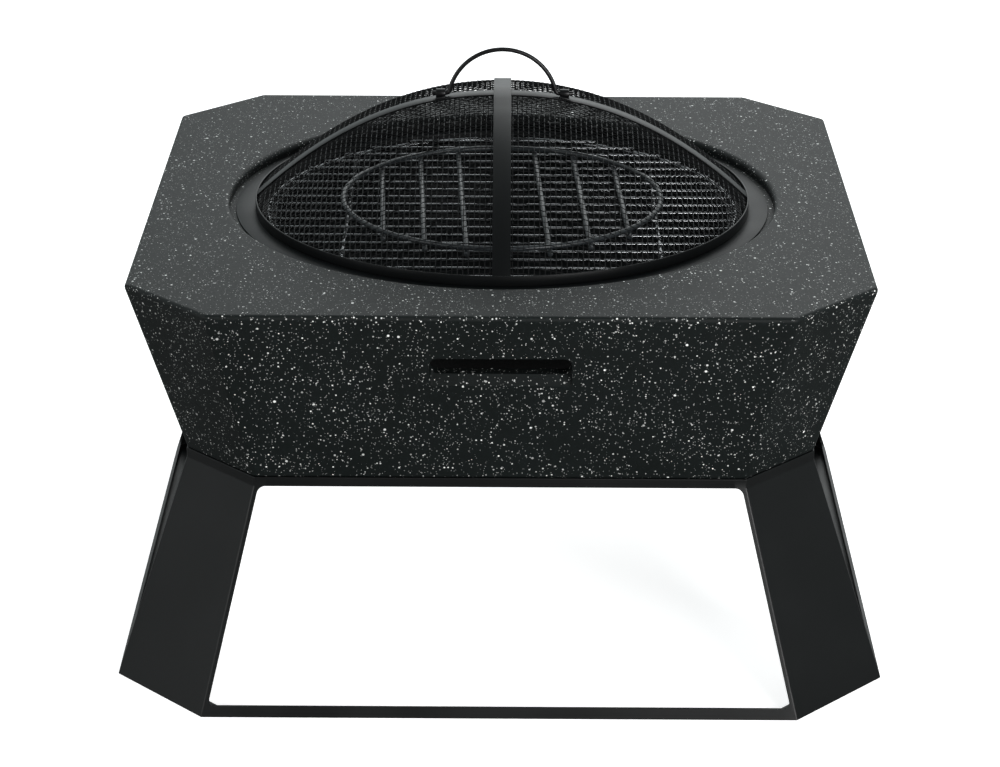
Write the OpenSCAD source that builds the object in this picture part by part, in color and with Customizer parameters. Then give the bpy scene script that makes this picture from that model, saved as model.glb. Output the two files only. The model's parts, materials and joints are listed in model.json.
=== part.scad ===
// Square stone-look fire pit on a flared steel stand, with a drop-in steel bowl,
// a chromed cooking grid, a round log grate and a domed spark screen with a swinging handle.
// Millimetres, +Z up. The origin is on the floor, under the middle of the pit, and the front faces -Y.

/* [Stone body] */
// Width of the table top, flat to flat
top_w = 680; // [650:1:820]
// Corner cut of the table top, along each side
top_cut = 80; // [40:1:110]
// Width of the body where it meets the stand
base_w = 586; // [560:1:700]
// Corner cut of the body at the stand
base_cut = 68; // [40:1:90]
// Height of the body
body_h = 175; // [172:1:240]
// Thickness of the body's walls
wall = 22; // [20:1:30]
// Thickness of the table top
slab = 30; // [20:1:36]
// Radius of the edge round the table top
top_edge_r = 4; // [3:1:16]
// Radius of the edge along the bottom rim
base_edge_r = 3; // [2:1:7]
// Radius of the edge round the mouth for the bowl
mouth_edge_r = 5; // [2:0.5:6]

/* [Hand slots] */
// Length of a hand slot
slot_w = 128; // [90:1:170]
// Height of a hand slot inside the wall
slot_h = 20; // [15:1:30]
// Depth of the slot's upper edge below the table top
slot_drop = 44; // [38:1:60]
// Radius of the slot's corners
slot_r = 8; // [2:0.5:9]
// Height of the sloping lip below a slot
slot_lip = 9; // [4:1:14]

/* [Stand] */
// Height of the stand
stand_h = 212; // [160:1:300]
// Width across the feet, flat to flat
foot_w = 720; // [640:1:860]
// Corner cut of the stand at the floor
foot_cut = 86; // [60:1:105]
// Thickness of the stand's sheet
sheet = 2; // [1.5:0.5:3]
// Height of the upright collar at the top of the stand
collar_h = 9; // [5:0.5:12]
// Height of the rails along the floor
floor_rail_h = 10; // [8:0.5:20]
// Width of the narrow lip that folds from each leg into the open side
leg_lip = 4; // [3:0.5:10]
// Radius of the open side's corners
window_r = 6; // [3:0.5:12]
// Width of the flange that carries the body
top_flange = 25; // [21:1:32]
// Width of the flange along the floor
foot_flange = 20; // [12:1:30]

/* [Body screws] */
// Diameter of the screws that hold the body on the stand
screw_d = 5; // [4:0.5:6]
// Length of a screw under its head
screw_len = 16; // [12:1:18]
// Diameter of a screw's head
screw_head_d = 10; // [8:0.5:12]
// Outside diameter of a washer
washer_d = 12; // [11:0.5:14]
// Thickness of a washer
washer_t = 1.2; // [0.8:0.1:1.6]
// Outside diameter of the threaded inserts in the body
insert_d = 9; // [8:0.5:10]
// Length of a threaded insert
insert_len = 14; // [10:1:18]

/* [Fire bowl] */
// Inside radius of the bowl's mouth
mouth_r = 236; // [190:1:240]
// Width of the flange round the mouth
flange_w = 24; // [20:1:30]
// Depth of the flange's upper face below the table top
flange_drop = 8; // [6:0.5:14]
// Thickness of the bowl's sheet
bowl_t = 1.5; // [1:0.1:2]
// Depth of the step that carries the cooking grid, below the flange
step_drop = 9.5; // [8:0.5:16]
// Width of that step
step_w = 14; // [10:1:20]
// Depth of the dish below the step
dish_depth = 137; // [90:1:137]
// Radius of the dish's flat bottom
dish_flat_r = 110; // [60:1:150]
// Diameter of the drain hole in the bottom
drain_d = 10; // [6:1:20]

/* [Cooking grid] */
// Wire diameter of the grid's ring
grid_ring_d = 5; // [4:0.5:6]
// Diameter of the grid's long wires
grid_wire_d = 3; // [2.5:0.5:4]
// Distance between the long wires
grid_pitch = 23; // [15:1:30]
// Diameter of the two stiffening bars under the wires
grid_bar_d = 4; // [3:0.5:5]
// Distance of each stiffening bar from the middle
grid_bar_x = 150; // [80:1:170]

/* [Log grate] */
// Outside radius of the log grate's ring
grate_r = 158; // [120:1:190]
// Rod diameter of the log grate
grate_d = 5; // [4:0.5:8]
// Distance between the grate's bars
grate_pitch = 39; // [30:1:48]
// Number of bars on each side of the middle one
grate_side_bars = 3; // [2:1:3]
// How far the bars reach past the ring
grate_overhang = 5; // [2:1:10]
// Turn of the grate on the grid, in degrees
grate_turn = 2.4; // [0:0.1:10]

/* [Spark screen] */
// Height of the screen's ring
ring_h = 10; // [8:0.5:16]
// Thickness of the screen's ring
ring_t = 1.5; // [1:0.1:2.5]
// Rise of the dome from its edge to its crown
dome_rise = 103; // [80:1:140]
// Shape of the dome's curve, where 2 is a parabola
dome_power = 2.2; // [1.7:0.05:2.4]
// Depth of the dome's edge below the top of the ring
dome_edge_drop = 2.5; // [2.2:0.1:4]
// Thickness of the woven mesh
mesh_t = 1; // [0.8:0.1:2]
// Width of the two straps
strap_w = 17; // [12:1:24]
// Thickness of the straps
strap_t = 1.5; // [1:0.1:2]

/* [Handle] */
// Diameter of the handle's wire
handle_d = 4.2; // [3.6:0.2:5]
// Distance of each lug from the middle of the dome
lug_x = 59.9; // [50:0.1:70]
// Height of a lug's hole above the lug's foot
hole_rise = 0.4; // [0.3:0.1:3]
// Depth of the centre of the handle's arc below the hinge line
arc_drop = 8.7; // [4:0.1:14]
// Radius of the bends that turn the handle's ends outwards
bend_r = 4; // [3:0.1:4]
// Wall of the lugs round the wire
lug_wall = 2.1; // [1.5:0.1:2.2]
// Length of a lug along the hinge line
lug_len = 9; // [7:0.5:9]
// Thickness of a lug's foot
lug_foot_t = 1.5; // [1:0.1:2]

/* [Fits] */
// Gap between the bowl's flange and the edge of the mouth
flange_gap = 6; // [3:0.5:8]
// Width of the ledge that the flange rests on
ledge_w = 12; // [8:0.5:12]
// Gap between the cooking grid and the bowl's wall
grid_gap = 5; // [3:0.5:7]
// Width of flange between the bowl's rounded mouth and the screen's ring
ring_inset = 0.5; // [0.2:0.1:4]
// Gap under the grid's ring and under the grate's bars, where round rods rest
rest_gap = 0.2; // [0.1:0.05:0.5]
// Gap between the bends of the handle and its lugs
lug_gap = 0.45; // [0.3:0.05:1]
// Radial clearance of the handle's ends in their lugs
hinge_gap = 0.08; // [0.03:0.01:0.1]
// Radial clearance of a screw in its insert, and of an insert in the body
insert_gap = 0.05; // [0.02:0.01:0.1]
// Radial clearance of a screw in the stand's flanges
screw_gap = 0.5; // [0.2:0.1:1]

/* [Hidden] */
$fn = 96;
over = 1;             // how far a cut runs past a face
mesh_steps = 14;      // flats along a strap, from the crown to the ring
bowl_bend = 3;        // radius of the bowl's mouth, on the upper side
bead = 0.05;          // how much the welds at the handle's bends stand out from the wire
handle_tip = 4;       // how far the handle's ends stick out of their lugs

// Heights above the floor
top_z = stand_h + body_h;
collar_z = stand_h - collar_h;
flange_z = top_z - flange_drop;
step_z = flange_z - step_drop;
grid_ring_z = step_z + rest_gap + grid_ring_d / 2;
grid_wire_z = grid_ring_z + grid_ring_d / 2 + grid_wire_d / 2;
grid_bar_z = grid_wire_z - grid_wire_d / 2 - grid_bar_d / 2;
grate_bar_z = grid_wire_z + grid_wire_d / 2 + rest_gap + grate_d / 2;
grate_ring_z = grate_bar_z + grate_d;
dome_edge_z = flange_z + ring_h - dome_edge_drop;
strap_crown_z = dome_edge_z + dome_rise + strap_t;

// Radii that follow from the fits
flange_r = mouth_r + flange_w;
hole_r = flange_r + flange_gap;
bore_r = flange_r - ledge_w;
grid_r = mouth_r - grid_gap - grid_ring_d / 2;
ring_in_r = mouth_r + bowl_bend + ring_inset;
grate_ring_r = grate_r - grate_d / 2;
bolt_in = wall / 2 + 1;
side_tilt = atan2(foot_w / 2 - base_w / 2, collar_z);
corner_tilt = atan2(cut_reach(foot_w, foot_cut) - cut_reach(base_w, base_cut), collar_z);

// Hinge line and arc of the handle, which follow from the place of its lugs
seat_z = (dome_z(flat_r(3)) + dome_z(flat_r(4))) / 2 + strap_t;
hinge_z = seat_z + lug_foot_t + hole_rise + handle_d / 2 + hinge_gap;
arc_z = hinge_z - arc_drop;
handle_r = sqrt(pow(lug_x - lug_len / 2 - lug_gap, 2) + pow(arc_drop + bend_r, 2)) - bend_r;

// Distance from the axis to the middle of a cut corner
function cut_reach(w, cut) = (w - cut) / sqrt(2);

// A square with cut corners, moved inwards by inset, as eight points
function octagon(w, cut, inset = 0) =
    let (h = w / 2 - inset, f = h - cut + inset * (2 - sqrt(2)))
    [[f, -h], [h, -f], [h, f], [f, h], [-f, h], [-h, f], [-h, -f], [-f, -h]];

// Width, corner cut and half-length of a flat side of the stand, at a height below the collar
function stand_w(z) = foot_w + (base_w - foot_w) * z / collar_z;
function stand_cut(z) = foot_cut + (base_cut - foot_cut) * z / collar_z;
function fold_x(z) = stand_w(z) / 2 - stand_cut(z);
function window_x(z) = fold_x(z) - leg_lip;

// Radius at which flat k of the dome begins; each lug stands on the middle of flat 3
function flat_r(k) =
    let (last = 4 * lug_x / 3.5)
    k <= 4 ? k * lug_x / 3.5 : last + (k - 4) * (ring_in_r - last) / (mesh_steps - 4);

// Height of the dome's outer face, its slope, and a point set off from that face
function dome_z(r) = dome_edge_z + dome_rise * (1 - pow(r / ring_in_r, dome_power));
function dome_slope(r) = dome_rise * dome_power / ring_in_r * pow(r / ring_in_r, dome_power - 1);
function dome_point(r, off) =
    let (s = dome_slope(r), n = sqrt(1 + s * s)) [r + off * s / n, dome_z(r) + off / n];

// An arc of points, for outlines
function arc(c, r, from, to, steps) =
    [for (i = [0 : steps]) let (a = from + (to - from) * i / steps) c + r * [cos(a), sin(a)]];

// ---- Stone body ----

// The solid outline of the body, with round edges
module body_block() {
    hull() {
        for (p = octagon(top_w, top_cut, top_edge_r))
            translate([p[0], p[1], top_z - top_edge_r]) sphere(r = top_edge_r, $fn = 32);
        for (p = octagon(base_w, base_cut, base_edge_r))
            translate([p[0], p[1], stand_h + base_edge_r]) sphere(r = base_edge_r, $fn = 32);
    }
}

// The hollow inside the body, open at the bottom
module body_hollow() {
    roof_z = top_z - slab;
    share = (roof_z - stand_h) / body_h;
    roof_w = base_w + (top_w - base_w) * share;
    roof_cut = base_cut + (top_cut - base_cut) * share;
    hull() {
        translate([0, 0, stand_h - over]) linear_extrude(over) polygon(octagon(base_w, base_cut, wall));
        translate([0, 0, roof_z - over]) linear_extrude(over) polygon(octagon(roof_w, roof_cut, wall));
    }
}

// The mouth for the bowl, with its ledge and round edge
module bowl_mouth() {
    ledge_z = flange_z - bowl_t;
    rotate_extrude()
        polygon(concat([[0, top_z - slab - over], [bore_r, top_z - slab - over], [bore_r, ledge_z],
                        [hole_r, ledge_z]],
                       arc([hole_r + mouth_edge_r, top_z - mouth_edge_r], mouth_edge_r, 180, 90, 5),
                       [[hole_r + mouth_edge_r, top_z + over], [0, top_z + over]]));
}

// A hand slot through the front wall, with a sloping lip below it
module hand_slot() {
    z0 = top_z - slot_drop - slot_h;
    x1 = slot_w / 2;
    y1 = base_w / 2 - wall - over;
    translate([0, -y1, z0]) rotate([90, 0, 0]) linear_extrude(top_w / 2 - y1 + over)
        polygon(concat(arc([x1 - slot_r, slot_r], slot_r, -90, 0, 4),
                       arc([x1 - slot_r, slot_h - slot_r], slot_r, 0, 90, 4),
                       arc([slot_r - x1, slot_h - slot_r], slot_r, 90, 180, 4),
                       arc([slot_r - x1, slot_r], slot_r, 180, 270, 4)));
    face_y = base_w / 2 + (top_w - base_w) / 2 * (z0 - slot_lip - stand_h) / body_h;
    translate([-slot_w / 2, 0, 0]) rotate([90, 0, 90]) linear_extrude(slot_w)
        polygon([[-face_y, z0 - slot_lip], [wall * 0.6 - face_y, z0 + slot_r],
                 [-top_w / 2, z0 + slot_r], [-top_w / 2, z0 - slot_lip]]);
}

module stone_body() {
    color([0.17, 0.19, 0.20])
    difference() {
        body_block();
        body_hollow();
        bowl_mouth();
        for (turn = [0, 180]) rotate([0, 0, turn]) hand_slot();
        body_bolt_places() translate([0, 0, stand_h - over])
            cylinder(d = insert_d + 2 * insert_gap, h = insert_len + over + 2);
    }
}

// ---- Stand ----

// Puts a flat shape, drawn with x along the side and y up its slope, on the front of the stand
module on_front(reach, tilt) {
    translate([0, -reach, 0]) rotate([90 - tilt, 0, 0]) translate([0, 0, -sheet]) linear_extrude(sheet)
        children();
}

// The joint between a leg and the rails, at the floor and at the collar
floor_joint_x = window_x(floor_rail_h) - window_r - 2;
collar_joint_x = window_x(collar_z) - window_r - 2;

// The right-hand half of the frame round an open side, as part of a leg
module leg_lip_shape() {
    up = 1 / cos(side_tilt);
    lean = atan2(window_x(floor_rail_h) - window_x(collar_z), (collar_z - floor_rail_h) * up);
    low = [window_x(floor_rail_h + window_r) - window_r, (floor_rail_h + window_r) * up];
    high = [window_x(collar_z - window_r) - window_r, (collar_z - window_r) * up];
    polygon(concat([[floor_joint_x, 0], [fold_x(0), 0], [fold_x(collar_z), collar_z * up],
                    [collar_joint_x, collar_z * up]],
                   arc(high, window_r, 90 - lean, lean, 4), arc(low, window_r, lean, lean - 90, 4),
                   [[floor_joint_x, floor_rail_h * up]]));
}

// Takes away what hangs below the floor
module above_floor() {
    difference() {
        union() children();
        translate([-foot_w, -foot_w, -2 * sheet]) cube([2 * foot_w, 2 * foot_w, 2 * sheet]);
    }
}

// A strip of the flange ring, between the joint of one rail and the next corner
module corner_flange(w, cut, width, joint_x) {
    skin = sheet * 0.6;
    o = octagon(w, cut, skin);
    i = octagon(w, cut, skin + width);
    linear_extrude(sheet)
        polygon([[joint_x, o[0][1]], o[0], o[1], [o[1][0], -joint_x],
                 [i[1][0], -joint_x], i[1], i[0], [joint_x, i[0][1]]]);
}

// One leg, at the front right corner
module leg() {
    corner_len = collar_z / cos(corner_tilt);
    half0 = foot_cut / sqrt(2);
    half1 = base_cut / sqrt(2);
    reach0 = cut_reach(foot_w, foot_cut);
    reach1 = cut_reach(base_w, base_cut);
    strip = fold_x(collar_z) - collar_joint_x;
    color([0.09, 0.095, 0.10])
    difference() {
        above_floor() {
            rotate([0, 0, 45]) on_front(reach0, corner_tilt)
                polygon([[-half0, 0], [half0, 0], [half1, corner_len], [-half1, corner_len]]);
            on_front(foot_w / 2, side_tilt) leg_lip_shape();
            rotate([0, 0, 90]) on_front(foot_w / 2, side_tilt) mirror([1, 0]) leg_lip_shape();
            rotate([0, 0, 45]) translate([-half1, -reach1, collar_z]) cube([2 * half1, sheet, collar_h]);
            translate([collar_joint_x, -base_w / 2, collar_z]) cube([strip, sheet, collar_h]);
            rotate([0, 0, 90]) translate([-fold_x(collar_z), -base_w / 2, collar_z])
                cube([strip, sheet, collar_h]);
            translate([0, 0, stand_h - sheet]) corner_flange(base_w, base_cut, top_flange, collar_joint_x);
            corner_flange(foot_w, foot_cut, foot_flange, floor_joint_x);
        }
        translate([0, 0, stand_h - sheet - over]) rotate([0, 0, 45]) translate([0, bolt_in - reach1, 0])
            cylinder(d = screw_d + 2 * screw_gap, h = sheet + 2 * over);
    }
}

// One top rail, at the front: an upright collar and the flange that carries the body
module top_rail() {
    x1 = collar_joint_x;
    color([0.09, 0.095, 0.10])
    difference() {
        union() {
            translate([-x1, -base_w / 2, collar_z]) cube([2 * x1, sheet, collar_h]);
            translate([-x1, sheet * 0.6 - base_w / 2, stand_h - sheet]) cube([2 * x1, top_flange, sheet]);
        }
        translate([0, bolt_in - base_w / 2, stand_h - sheet - over])
            cylinder(d = screw_d + 2 * screw_gap, h = sheet + 2 * over);
    }
}

// One floor rail, at the front: a sloping strip and the flange that it stands on
module floor_rail() {
    x1 = floor_joint_x;
    skin = sheet / cos(side_tilt);
    edge = foot_flange + sheet * 0.6 - foot_w / 2;
    color([0.09, 0.095, 0.10])
    translate([-x1, 0, 0]) rotate([90, 0, 90]) linear_extrude(2 * x1)
        polygon([[-foot_w / 2, 0], [edge, 0], [edge, sheet], [skin - stand_w(sheet) / 2, sheet],
                 [skin - stand_w(floor_rail_h) / 2, floor_rail_h],
                 [-stand_w(floor_rail_h) / 2, floor_rail_h]]);
}

// ---- Body screws ----

// The eight places where the stand is screwed to the body: four corners and four sides
module body_bolt_places() {
    for (turn = [0 : 90 : 270]) {
        rotate([0, 0, turn]) translate([0, bolt_in - base_w / 2, 0]) children();
        rotate([0, 0, turn + 45]) translate([0, bolt_in - cut_reach(base_w, base_cut), 0]) children();
    }
}

module body_inserts() {
    color([0.72, 0.60, 0.32])
    body_bolt_places() translate([0, 0, stand_h]) difference() {
        cylinder(d = insert_d, h = insert_len);
        translate([0, 0, -over]) cylinder(d = screw_d + 2 * insert_gap, h = insert_len + 2 * over);
    }
}

module body_screws() {
    color([0.12, 0.12, 0.13])
    body_bolt_places() translate([0, 0, stand_h - sheet - washer_t]) {
        cylinder(d = screw_d, h = screw_len);
        difference() {
            translate([0, 0, -screw_head_d * 0.35]) cylinder(d = screw_head_d, h = screw_head_d * 0.35);
            translate([0, 0, -screw_head_d * 0.35 - over])
                cylinder(d = screw_d * 0.7, h = screw_head_d * 0.2 + over, $fn = 6);
        }
    }
}

module body_washers() {
    color([0.12, 0.12, 0.13])
    body_bolt_places() translate([0, 0, stand_h - sheet - washer_t]) difference() {
        cylinder(d = washer_d, h = washer_t);
        translate([0, 0, -over]) cylinder(d = screw_d + 2 * screw_gap, h = washer_t + 2 * over);
    }
}

// ---- Fire bowl ----

// Points down the dish, from the step to the flat bottom
function dish(off) =
    [for (a = [9 : 9 : 90])
        [dish_flat_r + (mouth_r - step_w + off - dish_flat_r) * cos(a),
         step_z - (dish_depth + off) * sin(a)]];

module fire_bowl() {
    bend = [mouth_r + bowl_bend, flange_z - bowl_bend];
    lip_r = mouth_r - step_w;
    bottom_z = step_z - dish_depth;
    dish_down = dish(0);
    dish_under = dish(bowl_t);
    last = len(dish_under) - 1;
    color([0.20, 0.21, 0.22])
    rotate_extrude()
        polygon(concat([[flange_r, flange_z]], arc(bend, bowl_bend, 90, 180, 5),
                       [[mouth_r, step_z], [lip_r, step_z]], dish_down,
                       [[drain_d / 2, bottom_z], [drain_d / 2, bottom_z - bowl_t]],
                       [for (i = [0 : last]) dish_under[last - i]],
                       [[lip_r + bowl_t, step_z - bowl_t], [mouth_r + bowl_t, step_z - bowl_t]],
                       arc(bend, bowl_bend - bowl_t, 180, 90, 5), [[flange_r, flange_z - bowl_t]]));
}

// ---- Cooking grid ----

module ring_of_rod(r, d, z) {
    translate([0, 0, z]) rotate_extrude() translate([r, 0]) circle(d = d, $fn = 32);
}

module grid_ring() {
    color([0.78, 0.79, 0.80]) ring_of_rod(grid_r, grid_ring_d, grid_ring_z);
}

module grid_wires() {
    rows = floor((grid_r - grid_ring_d) / grid_pitch);
    color([0.78, 0.79, 0.80])
    for (row = [-rows : rows]) {
        half = sqrt(pow(grid_r, 2) - pow(row * grid_pitch, 2));
        translate([-half, row * grid_pitch, grid_wire_z]) rotate([0, 90, 0])
            cylinder(d = grid_wire_d, h = 2 * half, $fn = 24);
    }
}

module grid_bars() {
    half = sqrt(pow(grid_r - grid_ring_d / 2, 2) - pow(grid_bar_x + grid_bar_d / 2, 2));
    color([0.78, 0.79, 0.80])
    for (side = [-1, 1])
        translate([side * grid_bar_x, half, grid_bar_z]) rotate([90, 0, 0])
            cylinder(d = grid_bar_d, h = 2 * half, $fn = 24);
}

// ---- Log grate ----

module grate_ring() {
    color([0.13, 0.14, 0.15]) ring_of_rod(grate_ring_r, grate_d, grate_ring_z);
}

module grate_bars() {
    color([0.13, 0.14, 0.15])
    rotate([0, 0, grate_turn])
    for (k = [-grate_side_bars : grate_side_bars]) {
        half = sqrt(pow(grate_r, 2) - pow(k * grate_pitch, 2)) + grate_overhang;
        translate([k * grate_pitch, half, grate_bar_z]) rotate([90, 0, 0])
            cylinder(d = grate_d, h = 2 * half, $fn = 32);
    }
}

// ---- Spark screen ----

module screen_ring() {
    color([0.11, 0.115, 0.12])
    translate([0, 0, flange_z]) difference() {
        cylinder(r = ring_in_r + ring_t, h = ring_h);
        translate([0, 0, -over]) cylinder(r = ring_in_r, h = ring_h + 2 * over);
    }
}

// The woven dome, as a thin shell
module screen_mesh() {
    outer = [for (i = [0 : mesh_steps]) dome_point(flat_r(i), 0)];
    inner = [for (i = [mesh_steps : -1 : 0]) dome_point(flat_r(i), -mesh_t)];
    edge = [ring_in_r, inner[0][1]];
    color([0.05, 0.05, 0.055])
    rotate_extrude() polygon(concat(outer, [edge], inner));
}

// A strap's height at flat k, on the dome; the upper strap steps over the lower one at the crown
function strap_point(k, off, upper) =
    upper && abs(k) <= 1
        ? [k * flat_r(1), strap_crown_z + off]
        : let (p = dome_point(flat_r(abs(k)), off)) [sign(k) * p[0], p[1]];

// A strap along X
module strap(upper) {
    color([0.13, 0.135, 0.14])
    intersection() {
        translate([0, strap_w / 2, 0]) rotate([90, 0, 0]) linear_extrude(strap_w)
            polygon(concat([for (k = [-mesh_steps : mesh_steps]) strap_point(k, 0, upper)],
                           [for (k = [mesh_steps : -1 : -mesh_steps]) strap_point(k, strap_t, upper)]));
        translate([0, 0, flange_z]) cylinder(r = ring_in_r, h = ring_h + dome_rise + strap_crown_z);
    }
}

module strap_left_right() { strap(false); }

module strap_front_back() { rotate([0, 0, 90]) strap(true); }

// ---- Handle ----

// A lug on the right half of the left-right strap: a foot on the strap and an eye for the wire
module handle_lug() {
    from = dome_point(flat_r(3), strap_t);
    to = dome_point(flat_r(4), strap_t);
    seat = (from + to) / 2;
    lean = atan2(from[1] - to[1], to[0] - from[0]);
    eye_r = handle_d / 2 + hinge_gap + lug_wall;
    color([0.06, 0.06, 0.065])
    difference() {
        union() {
            translate([seat[0], 0, seat[1]]) rotate([0, lean, 0])
                translate([-lug_len / 2, -strap_w / 2, 0]) cube([lug_len, strap_w, lug_foot_t]);
            translate([lug_x - lug_len / 2, 0, hinge_z]) rotate([0, 90, 0]) cylinder(r = eye_r, h = lug_len);
            translate([lug_x - lug_len / 2, -eye_r * 0.8, seat[1] - eye_r])
                cube([lug_len, 1.6 * eye_r, hinge_z - seat[1] + eye_r]);
        }
        translate([seat[0], 0, seat[1]]) rotate([0, lean, 0])
            translate([-lug_len, -strap_w, -2 * eye_r]) cube([2 * lug_len, 2 * strap_w, 2 * eye_r]);
        translate([0, 0, hinge_z]) rotate([0, 90, 0])
            cylinder(d = handle_d + 2 * hinge_gap, h = lug_x + lug_len);
    }
}

module handle_lug_right() { handle_lug(); }

module handle_lug_left() { rotate([0, 0, 180]) handle_lug(); }

// The handle: an arc of wire whose ends bend outwards into the lugs
module handle_bail() {
    reach = handle_r + bend_r;
    rise = arc_drop + bend_r;
    turn = asin(rise / reach);
    bend_x = sqrt(pow(reach, 2) - pow(rise, 2));
    end_x = lug_x + lug_len / 2 + handle_tip;
    color([0.06, 0.06, 0.065]) {
        translate([0, 0, arc_z]) rotate([90, 0, 0]) rotate([0, 0, turn])
            rotate_extrude(angle = 180 - 2 * turn) translate([handle_r, 0]) circle(d = handle_d, $fn = 32);
        for (side = [0, 180]) rotate([0, 0, side]) {
            translate([bend_x, 0, hinge_z + bend_r]) rotate([90, 0, 0]) rotate([0, 0, 180 + turn])
                rotate_extrude(angle = 90 - turn) translate([bend_r, 0]) circle(d = handle_d, $fn = 32);
            translate([handle_r * cos(turn), 0, arc_z + handle_r * sin(turn)])
                sphere(d = handle_d + 2 * bead, $fn = 32);
            translate([bend_x, 0, hinge_z]) sphere(d = handle_d + 2 * bead, $fn = 32);
            translate([bend_x, 0, hinge_z]) rotate([0, 90, 0])
                cylinder(d = handle_d, h = end_x - bend_x, $fn = 32);
        }
    }
}

stone_body();
leg();  // leg_front_right
rotate([0, 0, 90]) leg();  // leg_back_right
rotate([0, 0, 180]) leg();  // leg_back_left
rotate([0, 0, 270]) leg();  // leg_front_left
top_rail();  // top_rail_front
rotate([0, 0, 90]) top_rail();  // top_rail_right
rotate([0, 0, 180]) top_rail();  // top_rail_back
rotate([0, 0, 270]) top_rail();  // top_rail_left
floor_rail();  // floor_rail_front
rotate([0, 0, 90]) floor_rail();  // floor_rail_right
rotate([0, 0, 180]) floor_rail();  // floor_rail_back
rotate([0, 0, 270]) floor_rail();  // floor_rail_left
body_inserts();
body_screws();
body_washers();
fire_bowl();
grid_ring();
grid_wires();
grid_bars();
grate_ring();
grate_bars();
screen_ring();
screen_mesh();
strap_left_right();
strap_front_back();
handle_lug_left();
handle_lug_right();
handle_bail();
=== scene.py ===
"""Fire pit with grate: the visual model, built round the packed CAD frame.

Every size is in metres, +Z is up, and the origin is on the floor under the middle of the pit.
Each piece is drawn by its own operator and rides on the CAD body that it belongs to.
"""

import json
import math

import bmesh
import bpy
from bpy.props import FloatProperty, FloatVectorProperty, IntProperty
from mathutils import Matrix, Vector


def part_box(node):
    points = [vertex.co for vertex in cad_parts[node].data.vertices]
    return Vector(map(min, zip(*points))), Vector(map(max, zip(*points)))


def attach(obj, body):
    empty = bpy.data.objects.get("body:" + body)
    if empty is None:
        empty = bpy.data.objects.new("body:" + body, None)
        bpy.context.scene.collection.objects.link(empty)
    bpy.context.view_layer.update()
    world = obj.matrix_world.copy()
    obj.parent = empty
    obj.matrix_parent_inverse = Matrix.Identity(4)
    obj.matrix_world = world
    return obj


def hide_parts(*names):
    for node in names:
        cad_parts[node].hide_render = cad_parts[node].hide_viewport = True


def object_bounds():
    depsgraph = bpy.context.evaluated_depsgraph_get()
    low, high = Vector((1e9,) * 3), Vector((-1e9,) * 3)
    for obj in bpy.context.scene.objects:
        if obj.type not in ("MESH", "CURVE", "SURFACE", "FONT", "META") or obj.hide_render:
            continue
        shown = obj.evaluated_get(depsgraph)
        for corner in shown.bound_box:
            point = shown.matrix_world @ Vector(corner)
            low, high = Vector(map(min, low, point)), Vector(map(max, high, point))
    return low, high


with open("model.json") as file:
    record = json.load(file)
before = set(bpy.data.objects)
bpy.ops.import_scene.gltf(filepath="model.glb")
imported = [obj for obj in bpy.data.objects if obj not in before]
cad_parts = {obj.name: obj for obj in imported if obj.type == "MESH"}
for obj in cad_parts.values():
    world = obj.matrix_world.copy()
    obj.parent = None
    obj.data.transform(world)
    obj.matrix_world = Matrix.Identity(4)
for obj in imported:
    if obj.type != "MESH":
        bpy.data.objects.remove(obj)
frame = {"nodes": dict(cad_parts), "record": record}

bl_info = {
    "name": "Fire pit with grate",
    "version": (1, 0, 0),
    "blender": (4, 5, 0),
    "location": "View3D > Sidebar > Fire Pit",
    "description": "Draws a square stone-look fire pit with a bowl, grids and a spark screen",
    "category": "Add Mesh",
}

CAD_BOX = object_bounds()

# What the CAD frame says about each piece
BODY_LO, BODY_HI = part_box("stone_body")
STAND_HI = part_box("leg_front_right")[1]
BOWL_LO, BOWL_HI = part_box("fire_bowl")
GRID_LO, GRID_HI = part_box("grid_ring")
WIRE_LO, WIRE_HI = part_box("grid_wires")
BAR_LO, BAR_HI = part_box("grid_bars")
GRATE_LO, GRATE_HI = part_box("grate_ring")
ROD_LO, ROD_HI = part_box("grate_bars")
RING_LO, RING_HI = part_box("screen_ring")
MESH_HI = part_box("screen_mesh")[1]
BAIL_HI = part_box("handle_bail")[1]
JOINTS = frame["record"]["behaviour"]["joints"]
HINGE = Vector(next(joint for joint in JOINTS if joint["type"] == "hinge")["pos_m"])

TOP_Z = BODY_HI.z
SEAT_Z = BODY_LO.z
FLANGE_Z = BOWL_HI.z
FLANGE_R = BOWL_HI.x
RING_R = RING_HI.x

WELD = 1e-6  # points closer than this are one point
NEAR = 1e-5  # slack when edges and faces are picked by their place
PAST = 0.004  # how far a cutter reaches past the surface that it opens
SHEET_EDGE = 0.0004  # rounding of the cut edges of thin sheet

# ---- Mesh tools ----


def nothing_selected():
    """Leaves edit mode and deselects every object, so the next operator acts on its own piece only."""
    if bpy.context.object is not None and bpy.context.object.mode != "OBJECT":
        bpy.ops.object.mode_set(mode="OBJECT")
    bpy.ops.object.select_all(action="DESELECT")


def make_active(obj):
    """Selects one object alone and makes it the active one."""
    nothing_selected()
    obj.select_set(True)
    bpy.context.view_layer.objects.active = obj
    return obj


def set_down(obj):
    """Puts a selected piece's place, turn and scale into its mesh."""
    bpy.ops.object.transform_apply(location=True, rotation=True, scale=True)
    return obj


def add(kind, **how):
    """Adds a mesh primitive whose place, turn and scale are in its mesh."""
    nothing_selected()
    getattr(bpy.ops.mesh, f"primitive_{kind}_add")(**how)
    return set_down(bpy.context.object)


def block(middle, scale):
    """Adds a cuboid and opens it in edit mode."""
    return edit(add("cube", size=1, location=middle, scale=scale))


def edit(obj):
    """Opens a piece in edit mode with everything selected."""
    make_active(obj)
    bpy.ops.object.mode_set(mode="EDIT")
    bpy.ops.mesh.select_all(action="SELECT")
    return obj


def done(obj):
    """Leaves edit mode."""
    bpy.ops.object.mode_set(mode="OBJECT")
    return obj


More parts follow.
